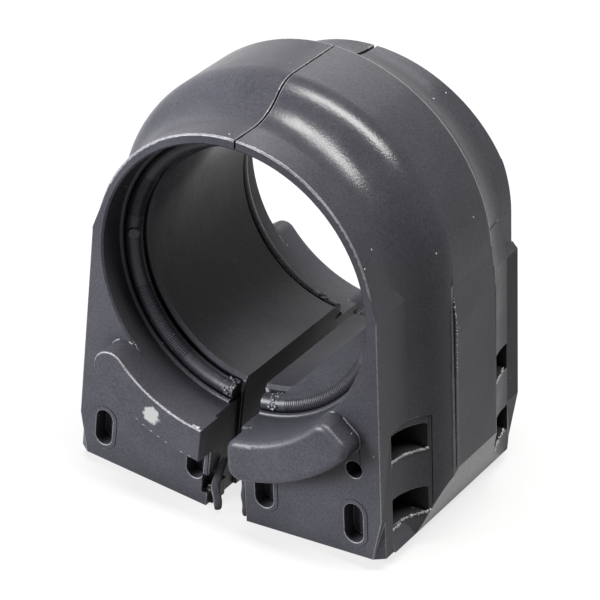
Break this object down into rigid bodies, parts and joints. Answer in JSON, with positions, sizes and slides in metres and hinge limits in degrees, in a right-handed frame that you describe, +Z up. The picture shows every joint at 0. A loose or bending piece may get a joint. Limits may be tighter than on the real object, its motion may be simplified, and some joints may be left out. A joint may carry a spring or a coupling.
{
  "type": "sway bar bushing",
  "caption": "Split rubber bushing for a heavy stabiliser bar: round crown with a raised strap band, open slot at the base, ringed counterbores, end lugs and blind pockets.",
  "frame": {"origin": "on the bore axis, in the middle of the raised band", "axes": "+Z up through the crown, -Y out of the front face along the bore, +X to the right seen from the front"},
  "size_m": [0.0777, 0.0618, 0.0843],
  "materials": {
    "black_rubber": "moulded, satin, with dull and glossy patches"
  },
  "bodies": {
    "root": {"bushing": "black_rubber"}
  },
  "joints": []
}
